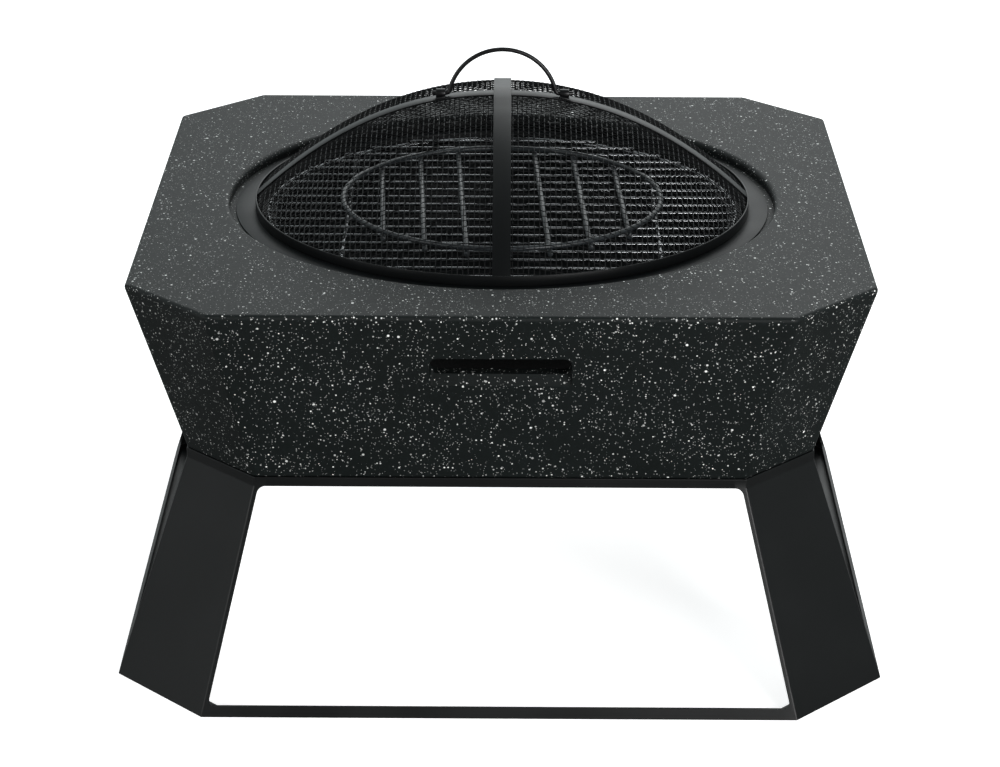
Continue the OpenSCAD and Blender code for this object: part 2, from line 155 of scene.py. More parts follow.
def pick(obj, kind, test):
    """In edit mode, selects the vertices, edges or faces whose middle passes a test."""
    bpy.ops.mesh.select_mode(type=kind)
    bpy.ops.mesh.select_all(action="DESELECT")
    mesh = bmesh.from_edit_mesh(obj.data)
    for part in {"VERT": mesh.verts, "EDGE": mesh.edges, "FACE": mesh.faces}[kind]:
        corners = [part.co] if kind == "VERT" else [v.co for v in part.verts]
        if test(sum(corners, Vector()) / len(corners), part):
            part.select_set(True)
    mesh.select_flush_mode()
    bmesh.update_edit_mesh(obj.data)


def tidy_normals(obj):
    """Merges doubles and turns every face outwards."""
    edit(obj)
    bpy.ops.mesh.remove_doubles(threshold=WELD)
    bpy.ops.mesh.normals_make_consistent(inside=False)
    return done(obj)


def closed_up(obj):
    """Merges doubles and fills the open ends of a piece."""
    edit(obj)
    bpy.ops.mesh.remove_doubles(threshold=WELD)
    bpy.ops.mesh.select_all(action="SELECT")
    bpy.ops.mesh.fill_holes(sides=0)
    return tidy_normals(done(obj))


def facing_up(obj):
    """Turns an open sheet over if it faces down."""
    if sum(face.normal.z for face in obj.data.polygons) < 0:
        edit(obj)
        bpy.ops.mesh.flip_normals()
        done(obj)
    return obj


def modify(obj, kind, **values):
    """Adds a modifier with these values and applies it."""
    make_active(obj)
    modifier = obj.modifiers.new(kind.title(), kind)
    for name, value in values.items():
        setattr(modifier, name, value)
    bpy.ops.object.modifier_apply(modifier=modifier.name)
    return obj


def cut(obj, *cutters):
    """Takes the cutters' shapes out of a piece and removes the cutters."""
    for cutter in cutters:
        modify(obj, "BOOLEAN", operation="DIFFERENCE", object=cutter, solver="EXACT")
        bpy.data.objects.remove(cutter)
    return obj


def joined(parts):
    """Joins several objects into the first one."""
    make_active(parts[0])
    for part in parts:
        part.select_set(True)
    bpy.ops.object.join()
    return bpy.context.object


def copy_of(obj):
    """A copy of a piece with a mesh of its own."""
    make_active(obj)
    bpy.ops.object.duplicate()
    return bpy.context.object


def turned(obj, angle):
    """Turns a piece about the pit's vertical axis."""
    make_active(obj)
    obj.rotation_euler = (0, 0, angle)
    return set_down(obj)


def trim(obj, point, normal, fill=True):
    """Cuts away what lies past a plane, on the side that its normal points to."""
    edit(obj)
    bpy.ops.mesh.bisect(plane_co=point, plane_no=normal, clear_outer=True, use_fill=fill)
    return done(obj)


def rounded(obj, width, segments=2, angle=30):
    """Rounds the edges that are sharper than an angle."""
    return modify(obj, "BEVEL", width=width, segments=segments, limit_method="ANGLE",
                  angle_limit=math.radians(angle), use_clamp_overlap=True)


def lathe(profile, steps, closed=False):
    """Turns an outline of (radius, height) points: a circle is extruded from point to point."""
    radius, height = profile[0]
    obj = edit(add("circle", vertices=steps, radius=radius, location=(0, 0, height)))
    bpy.ops.mesh.select_mode(type="EDGE")
    bpy.ops.mesh.select_all(action="SELECT")
    for r, z in profile[1:]:
        bpy.ops.mesh.extrude_region_move(TRANSFORM_OT_translate={"value": (0, 0, z - height)})
        bpy.ops.transform.resize(value=(r / radius, r / radius, 1), center_override=(0, 0, z))
        radius, height = r, z
    if closed:
        pick(obj, "EDGE", lambda middle, edge: edge.is_boundary)
        bpy.ops.mesh.bridge_edge_loops()
    return tidy_normals(done(obj))


def rod(start, end, diameter, sides=16, soft=0.3):
    """A straight round rod with softened ends."""
    start, end = Vector(start), Vector(end)
    along = end - start
    obj = add("cylinder", vertices=sides, radius=diameter / 2, depth=along.length,
              location=(start + end) / 2, rotation=along.to_track_quat("Z", "Y").to_euler())
    edit(obj)
    pick(obj, "FACE", lambda middle, face: min((middle - start).length, (middle - end).length) < NEAR)
    bpy.ops.mesh.region_to_loop()
    bpy.ops.mesh.bevel(offset=diameter / 2 * soft, segments=2, affect="EDGES")
    return done(obj)


def ring_of_rod(radius, diameter, z, seam_angle, steps=160, sides=16):
    """A ring bent from one rod, with a small weld bead where its ends meet."""
    bead = 1.07
    obj = edit(add("torus", major_radius=radius, minor_radius=diameter / 2, major_segments=steps,
                   minor_segments=sides, location=(0, 0, z)))
    seam = Vector((radius * math.cos(seam_angle), radius * math.sin(seam_angle), z))
    pick(obj, "VERT", lambda middle, vert: (middle - seam).length < diameter)
    bpy.ops.transform.resize(value=(1, bead, bead), center_override=seam)
    return done(obj)


def settle(obj, name, material, body, nodes=(), angle=35, weighted=False):
    """Names a finished piece, gives it its material and shading, and sets it on its CAD body."""
    make_active(obj)
    obj.name = obj.data.name = name
    obj.data.materials.clear()
    obj.data.materials.append(material)
    for face in obj.data.polygons:
        face.material_index = 0
    bpy.ops.object.shade_smooth_by_angle(angle=math.radians(angle))
    if weighted:
        modify(obj, "WEIGHTED_NORMAL", keep_sharp=True, weight=60)
    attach(obj, body)
    if nodes:
        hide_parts(*nodes)
    return obj


# ---- Shader tools ----


class Shader:
    """Adds nodes to one node tree; an input given as a socket is joined, any other value is set."""

    def __init__(self, tree):
        self.tree = tree

    def node(self, kind, inputs=None, **settings):
        made = self.tree.nodes.new(kind)
        for name, value in settings.items():
            setattr(made, name, value)
        for key, value in (inputs or {}).items():
            if isinstance(value, bpy.types.NodeSocket):
                self.tree.links.new(value, made.inputs[key])
            else:
                made.inputs[key].default_value = value
        return made

    def math(self, operation, a, b=0.0, c=0.0, clamp=False):
        made = self.node("ShaderNodeMath", {0: a, 1: b, 2: c}, operation=operation, use_clamp=clamp)
        return made.outputs[0]

    def noise(self, place, scale, detail=2.0, roughness=0.5):
        return self.node("ShaderNodeTexNoise", {"Vector": place, "Scale": scale, "Detail": detail,
                                                "Roughness": roughness}).outputs["Fac"]

    def span(self, value, from_min, from_max, to_min=0.0, to_max=1.0, kind="SMOOTHSTEP"):
        inputs = {"Value": value, "From Min": from_min, "From Max": from_max,
                  "To Min": to_min, "To Max": to_max}
        return self.node("ShaderNodeMapRange", inputs, interpolation_type=kind).outputs["Result"]

    def mix(self, share, a, b):
        return self.node("ShaderNodeMix", {"Factor": share, 6: a, 7: b}, data_type="RGBA").outputs[2]

    def scaled(self, vector, factor):
        made = self.node("ShaderNodeVectorMath", {0: vector, "Scale": factor}, operation="SCALE")
        return made.outputs[0]

    def bump(self, height, strength, distance):
        made = self.node("ShaderNodeBump", {"Height": height, "Strength": strength, "Distance": distance})
        return made.outputs[0]


def effect(name, inputs, outputs, draw):
    """Makes a shader node group once; draw gets its tools and inputs, and returns its outputs."""
    if name in bpy.data.node_groups:
        return bpy.data.node_groups[name]
    tree = bpy.data.node_groups.new(name, "ShaderNodeTree")
    for label, kind, value in inputs:
        socket = tree.interface.new_socket(name=label, in_out="INPUT", socket_type=f"NodeSocket{kind}")
        if value is not None:
            socket.default_value = value
    for label, kind in outputs:
        tree.interface.new_socket(name=label, in_out="OUTPUT", socket_type=f"NodeSocket{kind}")
    entry, leave = tree.nodes.new("NodeGroupInput"), tree.nodes.new("NodeGroupOutput")
    for (label, kind), value in zip(outputs, draw(Shader(tree), entry.outputs)):
        tree.links.new(value, leave.inputs[label])
    return tree


def draw_flecks(s, given):
    """Chips of one size: crisp spots at random places, some cells left empty."""
    wobble = s.node("ShaderNodeTexNoise", {"Vector": given["Place"], "Scale": 900.0, "Detail": 1.0})
    pushed = s.scaled(wobble.outputs["Color"], 0.0004)
    place = s.node("ShaderNodeVectorMath", {0: given["Place"], 1: pushed}, operation="ADD").outputs[0]
    density = s.math("DIVIDE", 1.0, given["Spacing"])
    cells = s.node("ShaderNodeTexVoronoi", {"Vector": place, "Scale": density}, voronoi_dimensions="3D")
    chance = s.node("ShaderNodeSeparateColor", {"Color": cells.outputs["Color"]}).outputs
    size = s.span(chance["Green"], 0.0, 1.0, 0.5, 1.0, "LINEAR")
    reach = s.math("MULTIPLY", s.math("MULTIPLY", given["Radius"], density), size)
    inside = s.span(s.math("DIVIDE", cells.outputs["Distance"], reach), 1.0, 0.78)
    crowd = s.span(s.noise(given["Place"], 28.0, 2.0), 0.35, 0.65, 0.55, 1.25, "LINEAR")
    kept = s.math("LESS_THAN", chance["Red"], s.math("MULTIPLY", given["Share"], crowd))
    shade = s.span(s.math("POWER", chance["Blue"], 1.5), 0.0, 1.0, 0.2, 1.0, "LINEAR")
    return [s.math("MULTIPLY", s.math("MULTIPLY", inside, kept), shade)]


def flecks_group():
    return effect("Stone flecks",
                  [("Place", "Vector", None), ("Spacing", "Float", 0.006),
                   ("Radius", "Float", 0.001), ("Share", "Float", 0.7)],
                  [("Mask", "Float")], draw_flecks)


def draw_coat(s, given):
    """Orange peel of a sprayed coat, with faint blotches and fine dust."""
    peel = s.noise(given["Place"], given["Peel Scale"], 3.0, 0.55)
    blotch = s.noise(given["Place"], 9.0, 3.0)
    speck = s.span(s.noise(given["Place"], 420.0, 1.0), 0.68, 0.8)
    rough = s.math("ADD", given["Roughness"], s.span(blotch, 0.3, 0.7, -0.05, 0.06, "LINEAR"))
    rough = s.math("ADD", rough, s.math("MULTIPLY", speck, 0.12))
    light = s.scaled(given["Color"], given["Dust"])
    share = s.math("MULTIPLY", s.span(blotch, 0.42, 0.72), 0.6)
    shade = s.mix(s.math("ADD", share, s.math("MULTIPLY", speck, 0.35), clamp=True), given["Color"], light)
    return [shade, s.math("MAXIMUM", rough, 0.05), peel]


def coat_group():
    return effect("Sprayed coat",
                  [("Place", "Vector", None), ("Color", "Color", (0.02, 0.02, 0.02, 1)),
                   ("Dust", "Float", 1.5), ("Roughness", "Float", 0.4),
                   ("Peel Scale", "Float", 700.0)],
                  [("Color", "Color"), ("Roughness", "Float"), ("Height", "Float")],
                  draw_coat)


def new_material(name):
    """An empty material with its output, its shader and the object's own coordinates."""
    made = bpy.data.materials.new(name)
    made.use_nodes = True
    made.node_tree.nodes.clear()
    s = Shader(made.node_tree)
    place = s.node("ShaderNodeTexCoord").outputs["Object"]
    return made, s, place


def close_material(s, values):
    """Joins the material's own shader to its output."""
    shader = s.node("ShaderNodeBsdfPrincipled", values)
    s.node("ShaderNodeOutputMaterial", {"Surface": shader.outputs[0]})


def coated(name, color, roughness, peel=700.0, bump=0.1, dust=1.6, metallic=0.0, level=0.5):
    """Sprayed or enamelled steel."""
    made, s, place = new_material(name)
    coat = s.node("ShaderNodeGroup", {"Place": place, "Color": (*color, 1), "Dust": dust,
                                      "Roughness": roughness, "Peel Scale": peel}, node_tree=coat_group())
    close_material(s, {"Base Color": coat.outputs["Color"], "Roughness": coat.outputs["Roughness"],
                       "Metallic": metallic, "Specular IOR Level": level,
                       "Normal": s.bump(coat.outputs["Height"], bump, 0.0004)})
    return made


# Chips of three sizes: distance between them, largest radius, share of the places that hold one
CHIPS = ((0.0090, 0.0015, 0.5), (0.0044, 0.00092, 0.85), (0.0024, 0.00054, 0.9))


def stone_material(settings):
    """Dark cast stone with white chips of three sizes."""
    made, s, place = new_material("Cast stone")
    large, middling, small = (
        s.node("ShaderNodeGroup", {"Place": place, "Spacing": spacing, "Radius": radius, "Share": share},
               node_tree=flecks_group()).outputs["Mask"] for spacing, radius, share in CHIPS)
    chips = s.math("MAXIMUM", s.math("MAXIMUM", large, middling), s.math("MULTIPLY", small, 0.7))
    chips = s.math("POWER", chips, 0.7)
    cloud = s.noise(place, 7.0, 4.0, 0.6)
    grain = s.noise(place, 520.0, 3.0, 0.6)
    dark = s.mix(s.span(cloud, 0.3, 0.7), (*settings.dark, 1), (*settings.light, 1))
    dark = s.mix(s.span(grain, 0.52, 0.75, 0.0, 0.55), dark, (*settings.grain, 1))
    color = s.mix(chips, dark, (*settings.chip, 1))
    rough = s.math("ADD", s.span(grain, 0.3, 0.7, settings.roughness, settings.roughness + 0.12, "LINEAR"),
                   s.math("MULTIPLY", chips, -0.15))
    relief_height = s.math("ADD", s.math("MULTIPLY", grain, 0.7), s.math("MULTIPLY", chips, 0.3))
    close_material(s, {"Base Color": color, "Roughness": rough, "Specular IOR Level": settings.sheen,
                       "Normal": s.bump(relief_height, 0.35, 0.0006)})
    return made


def chrome_material(name, color, roughness):
    """Bright plating with fine drawing marks and a little haze."""
    made, s, place = new_material(name)
    haze = s.noise(place, 60.0, 3.0)
    marks = s.noise(place, 1500.0, 1.0)
    shade = s.mix(s.span(haze, 0.45, 0.75, 0.0, 0.4), (*color, 1), (0.22, 0.22, 0.23, 1))
    rough = s.span(haze, 0.3, 0.7, roughness - 0.06, roughness + 0.1, "LINEAR")
    close_material(s, {"Base Color": shade, "Roughness": rough, "Metallic": 1.0,
                       "Normal": s.bump(marks, 0.08, 0.0002)})
    return made


def floor_material(bounce):
    """A plain pale floor: white to the camera, and darker to the light that it throws back at the pit."""
    made, s, _ = new_material("Pale floor")
    seen = s.node("ShaderNodeLightPath").outputs["Is Camera Ray"]
    shade = s.mix(seen, (bounce, bounce, bounce, 1), (0.9, 0.9, 0.9, 1))
    glow = s.math("MULTIPLY", seen, 0.7)
    close_material(s, {"Base Color": shade, "Roughness": 0.9, "Specular IOR Level": 0.0,
                       "Emission Color": (1, 1, 1, 1), "Emission Strength": glow})
    return made


# ---- Sizes and colours ----


def metres(name, description, default):
    """A length that a user may change."""
    return FloatProperty(name=name, description=description, default=default, unit="LENGTH")


def colour(name, description, default):
    """A colour that a user may change."""
    return FloatVectorProperty(name=name, description=description, default=default, subtype="COLOR")


class StoneSettings(bpy.types.PropertyGroup):
    """Sizes and colours of the stone body"""

    top_cut: metres("Top corner cut", "Corner cut of the table top, along each side", 0.080)
    base_width: metres("Base width", "Width of the body where it meets the stand", 0.586)
    base_cut: metres("Base corner cut", "Corner cut of the body at the stand", 0.068)
    top_radius: metres("Top edge radius", "Radius of the edge round the table top", 0.004)
    base_radius: metres("Base edge radius", "Radius of the edge along the bottom rim", 0.003)
    side_radius: metres("Corner radius", "Radius of the edges down the corners", 0.008)
    wall: metres("Wall", "Thickness of the body's walls", 0.022)
    slab: metres("Slab", "Thickness of the table top", 0.030)
    mouth_gap: metres("Mouth gap", "Gap between the bowl's flange and the mouth", 0.006)
    mouth_radius: metres("Mouth edge radius", "Radius of the edge round the mouth", 0.005)
    ledge: metres("Ledge", "Width of the ledge that the bowl rests on", 0.012)
    slot_length: metres("Slot length", "Length of a hand slot", 0.128)
    slot_height: metres("Slot height", "Height of a hand slot", 0.020)
    slot_drop: metres("Slot drop", "Depth of the slot's upper edge below the table top", 0.044)
    slot_radius: metres("Slot corner radius", "Radius of the slot's corners", 0.008)
    slot_lip: metres("Slot lip", "Height of the sloping lip below a slot", 0.009)
    dark: colour("Dark", "Darkest colour of the stone", (0.0011, 0.0027, 0.0024))
    light: colour("Light", "Lighter clouds in the stone", (0.0020, 0.0040, 0.0038))
    grain: colour("Grain", "Colour of the fine grain", (0.008, 0.013, 0.014))
    chip: colour("Chips", "Colour of the white chips", (0.93, 0.94, 0.92))
    roughness: FloatProperty(name="Roughness", description="Roughness of the stone", default=0.55,
                             subtype="FACTOR")
    sheen: FloatProperty(name="Sheen", description="How strongly the stone mirrors the room", default=0.22,
                         subtype="FACTOR")


class StandSettings(bpy.types.PropertyGroup):
    """Sizes and colour of the steel stand"""

    foot_cut: metres("Foot corner cut", "Corner cut of the stand at the floor", 0.086)
    sheet: metres("Sheet", "Thickness of the stand's sheet", 0.002)
    collar: metres("Collar", "Height of the upright collar under the body", 0.009)
    rail: metres("Floor rail", "Height of the rails along the floor", 0.010)
    lip: metres("Leg lip", "Width of the lip from each leg into the open side", 0.004)
    window_radius: metres("Window radius", "Radius of the open side's corners", 0.006)
    bend: metres("Fold radius", "Radius of the folds in the sheet", 0.0014)
    top_flange: metres("Top flange", "Width of the flange that carries the body", 0.025)
    foot_flange: metres("Foot flange", "Width of the flange along the floor", 0.020)
    color: colour("Coat", "Colour of the powder coat", (0.0018, 0.0022, 0.0023))


class BowlSettings(bpy.types.PropertyGroup):
    """Sizes and colour of the fire bowl"""

    sheet: metres("Sheet", "Thickness of the bowl's sheet", 0.0015)
    flange: metres("Flange", "Width of the flat flange round the mouth", 0.024)
    bend: metres("Bend", "Radius of the bend at the mouth", 0.003)
    step_drop: metres("Step drop", "Depth of the step that carries the cooking grid", 0.0095)
    step_width: metres("Step width", "Width of that step", 0.014)
    dish_flat: metres("Flat bottom", "Radius of the flat bottom", 0.110)
    drain: metres("Drain", "Diameter of the drain hole", 0.010)
    color: colour("Paint", "Colour of the bowl's paint", (0.003, 0.004, 0.0043))


class GridSettings(bpy.types.PropertyGroup):
    """Sizes and colours of the cooking grid and the log grate"""

    wire_pitch: metres("Wire pitch", "Distance between the grid's long wires", 0.023)
    wire_count: IntProperty(name="Wires", description="Number of long wires", default=19)
    bar_count: IntProperty(name="Grate bars", description="Number of bars in the log grate", default=7)
    bar_pitch: metres("Bar pitch", "Distance between the grate's bars", 0.039)
    bar_overhang: metres("Overhang", "How far the bars reach past the grate's ring", 0.005)
    grate_turn: FloatProperty(name="Grate turn", description="Turn of the grate on the grid",
                              default=math.radians(2.4), subtype="ANGLE")
    chrome: colour("Chrome", "Colour of the plating", (0.20, 0.205, 0.21))
    enamel: colour("Enamel", "Colour of the log grate", (0.014, 0.017, 0.019))


class ScreenSettings(bpy.types.PropertyGroup):
    """Sizes and colours of the spark screen and its handle"""

    ring_thickness: metres("Ring", "Thickness of the screen's ring", 0.0015)
    edge_drop: metres("Edge drop", "Depth of the dome's edge below the top of the ring", 0.0025)
    dome_power: FloatProperty(name="Dome power", description="Shape of the dome's curve", default=2.2)
    mesh_pitch: metres("Mesh pitch", "Distance between the woven wires", 0.005)
    mesh_wire: metres("Mesh wire", "Diameter of the woven wires", 0.0008)
    strap_width: metres("Strap width", "Width of the two straps", 0.017)
    strap_thickness: metres("Strap", "Thickness of the straps", 0.0015)
    bend_radius: metres("Bend radius", "Radius of the bends at the handle's ends", 0.004)
    arc_drop: metres("Arc drop", "Depth of the handle's arc centre below its hinge", 0.0087)
    handle_wire: metres("Handle wire", "Diameter of the handle's wire", 0.0042)
    lug_place: metres("Lug place", "Distance of each lug from the middle of the dome", 0.0599)
    lug_length: metres("Lug length", "Length of a lug along the hinge line", 0.009)
    color: colour("Paint", "Colour of the ring and the straps", (0.003, 0.0034, 0.0036))
    mesh_color: colour("Mesh paint", "Colour of the woven mesh", (0.003, 0.003, 0.0033))
    handle_color: colour("Handle paint", "Colour of the handle", (0.003, 0.003, 0.0033))


class StudioSettings(bpy.types.PropertyGroup):
    """Floor, lights and camera"""

    floor_size: metres("Floor", "Width of the floor", 14.0)
    lens: FloatProperty(name="Lens", description="Focal length of the camera", default=109.58,
                        unit="CAMERA")
    distance: metres("Distance", "How far in front of the pit the camera stands", 2.8367)
    height: metres("Height", "Height of the camera above the table top", 0.9437)
    side: metres("Side", "How far right of the middle the camera stands", 0.0052)
    pitch: FloatProperty(name="Pitch", description="How far the camera looks down",
                         default=math.radians(22.03), subtype="ANGLE")
    yaw: FloatProperty(name="Yaw", description="Turn of the camera to the left", default=math.radians(0.13),
                       subtype="ANGLE")
    roll: FloatProperty(name="Roll", description="Roll of the camera", default=math.radians(0.25),
                        subtype="ANGLE")
    room_back: FloatProperty(name="Room, back", description="Strength of the room's light behind the pit",
                             default=0.95)
    room_front: FloatProperty(name="Room, front", default=0.13,
                              description="Strength of the room's light in front of the pit")
    bounce: FloatProperty(name="Floor bounce", default=0.25, subtype="FACTOR",
                          description="How much light the floor throws back at the pit")
    back: FloatProperty(name="Back light", description="Power of the light behind the pit", default=26.0,
                        unit="POWER")
    key: FloatProperty(name="Key light", description="Power of the light at the front right", default=112.0,
                       unit="POWER")


SETTINGS = {
    "pit_stone": StoneSettings,
    "pit_stand": StandSettings,
    "pit_bowl": BowlSettings,
    "pit_grids": GridSettings,
    "pit_screen": ScreenSettings,
    "pit_studio": StudioSettings,
}


# ---- Stone body ----


def leaning_edge(top_middle, top_radius, base_middle, base_radius, top_z, base_z):
    """How far from the axis the flat that touches both rounded rims crosses the top and the base."""
    out, up = top_middle - base_middle, (top_z - top_radius) - (base_z + base_radius)
    lean = math.atan2(out, up) + math.asin((top_radius - base_radius) / math.hypot(out, up))
    reach = math.cos(lean) * top_middle - math.sin(lean) * (top_z - top_radius) + top_radius
    return [(reach + math.sin(lean) * z) / math.cos(lean) for z in (top_z, base_z)]


def corner_reach(width, cut_length):
    """Distance from the axis to the middle of a cut corner."""
    return (width - cut_length) / math.sqrt(2)


def leaning_block(top_half, base_half, top_corner, base_corner, top_z, base_z):
    """A square block with leaning sides, whose four corners are sawn off by leaning planes."""
    obj = block((0, 0, (top_z + base_z) / 2), (2 * top_half, 2 * top_half, top_z - base_z))
    pick(obj, "FACE", lambda middle, face: middle.z < base_z + NEAR)
    share = base_half / top_half
    bpy.ops.transform.resize(value=(share, share, 1), center_override=(0, 0, base_z))
    done(obj)
    slope = (top_corner - base_corner) / (top_z - base_z)
    for turn in range(4):
        angle = math.radians(45 + 90 * turn)
        outward = Vector((math.cos(angle), math.sin(angle), 0))
        trim(obj, outward * top_corner + Vector((0, 0, top_z)), outward - Vector((0, 0, slope)))
    return tidy_normals(obj)


class FIREPIT_OT_stone_body(bpy.types.Operator):
    """Draws the hollow stone body with its mouth and hand slots"""

    bl_idname = "firepit.stone_body"
    bl_label = "Stone Body"

    def execute(self, context):
        v = context.scene.pit_stone
        top_w = BODY_HI.x - BODY_LO.x
        r1, r0 = v.top_radius, v.base_radius
        sides = leaning_edge(top_w / 2 - r1, r1, v.base_width / 2 - r0, r0, TOP_Z, SEAT_Z)
        corners = leaning_edge(corner_reach(top_w, v.top_cut) - r1, r1,
                               corner_reach(v.base_width, v.base_cut) - r0, r0, TOP_Z, SEAT_Z)
        body = leaning_block(sides[0], sides[1], corners[0], corners[1], TOP_Z, SEAT_Z)
        lean = math.atan2(sides[0] - sides[1], TOP_Z - SEAT_Z)
        widest = 0.008  # the bevel width that a weight of 1 stands for
        widths = {
            "rim": r1 / math.tan((math.pi / 2 - lean) / 2),
            "seat": r0 / math.tan((math.pi / 2 + lean) / 2),
            "side": v.side_radius / math.tan(math.radians(67.5)),
        }
        edit(body)
        tests = {
            "rim": lambda middle, edge: middle.z > TOP_Z - NEAR,
            "seat": lambda middle, edge: middle.z < SEAT_Z + NEAR,
            "side": lambda middle, edge: SEAT_Z + NEAR < middle.z < TOP_Z - NEAR,
        }
        for part, test in tests.items():
            pick(body, "EDGE", test)
            bpy.ops.transform.edge_bevelweight(value=widths[part] / widest)
        done(body)
        modify(body, "BEVEL", width=widest, segments=6, limit_method="WEIGHT", use_clamp_overlap=False)
        cut(body, self.hollow(v, top_w), self.mouth(v), self.slot(v, 0), self.slot(v, math.pi))
        settle(body, "stone_shell", stone_material(v), "root", ["stone_body"], angle=40,
               weighted=True)
        return {"FINISHED"}

    def hollow(self, v, top_w):
        roof = TOP_Z - v.slab
        share = (roof - SEAT_Z) / (TOP_Z - SEAT_Z)
        roof_w = v.base_width + (top_w - v.base_width) * share
        roof_cut = v.base_cut + (v.top_cut - v.base_cut) * share
        drop = PAST / (roof - SEAT_Z)
        half = [roof_w / 2 - v.wall, v.base_width / 2 - v.wall]
        corner = [corner_reach(width, cut_length) - v.wall
                  for width, cut_length in ((roof_w, roof_cut), (v.base_width, v.base_cut))]
        return leaning_block(half[0], half[1] - (half[0] - half[1]) * drop,
                             corner[0], corner[1] - (corner[0] - corner[1]) * drop, roof, SEAT_Z - PAST)

    def mouth(self, v):
        ledge_z = FLANGE_Z - bpy.context.scene.pit_bowl.sheet
        hole, bore, soft = FLANGE_R + v.mouth_gap, FLANGE_R - v.ledge, v.mouth_radius
        floor_z, roof_z = TOP_Z - v.slab - PAST, TOP_Z + PAST
        arc = [(hole + soft - soft * math.cos(a), TOP_Z - soft + soft * math.sin(a))
               for a in (math.radians(15 * k) for k in range(7))]
        profile = [(bore, floor_z), (bore, ledge_z), (hole, ledge_z), *arc, (hole + soft, roof_z)]
        return closed_up(lathe(profile, 192))

    def slot(self, v, turn):
        low = TOP_Z - v.slot_drop - v.slot_height
        inner, outer = v.base_width / 2 - v.wall - PAST / 2, BODY_HI.x + PAST
        depth = (inner + outer) / 2
        cutter = block((0, -depth, low + v.slot_height / 2), (v.slot_length, outer - inner, v.slot_height))
        pick(cutter, "EDGE", lambda middle, edge: abs(middle.y + depth) < NEAR)
        bpy.ops.mesh.bevel(offset=v.slot_radius, segments=6, affect="EDGES")
        done(cutter)
        share = (low - v.slot_lip - SEAT_Z) / (TOP_Z - SEAT_Z)
        face_y = v.base_width / 2 + (BODY_HI.x - v.base_width / 2) * share
        lip = block((0, -(face_y + outer) / 2, low), (v.slot_length, outer - face_y, 2 * v.slot_lip))
        pick(lip, "EDGE", lambda middle, edge: middle.z > low and middle.y > -face_y - NEAR)
        bpy.ops.transform.translate(value=(0, v.wall * 0.6, 0))
        pick(lip, "EDGE", lambda middle, edge: abs(middle.x) > v.slot_length / 2 - NEAR
             and abs(edge.verts[0].co.z - edge.verts[1].co.z) > NEAR)
        bpy.ops.mesh.bevel(offset=v.slot_radius / 2, segments=3, affect="EDGES")
        done(lip)
        modify(cutter, "BOOLEAN", operation="UNION", object=lip, solver="EXACT")
        bpy.data.objects.remove(lip)
        return turned(cutter, turn)


# ---- Stand ----


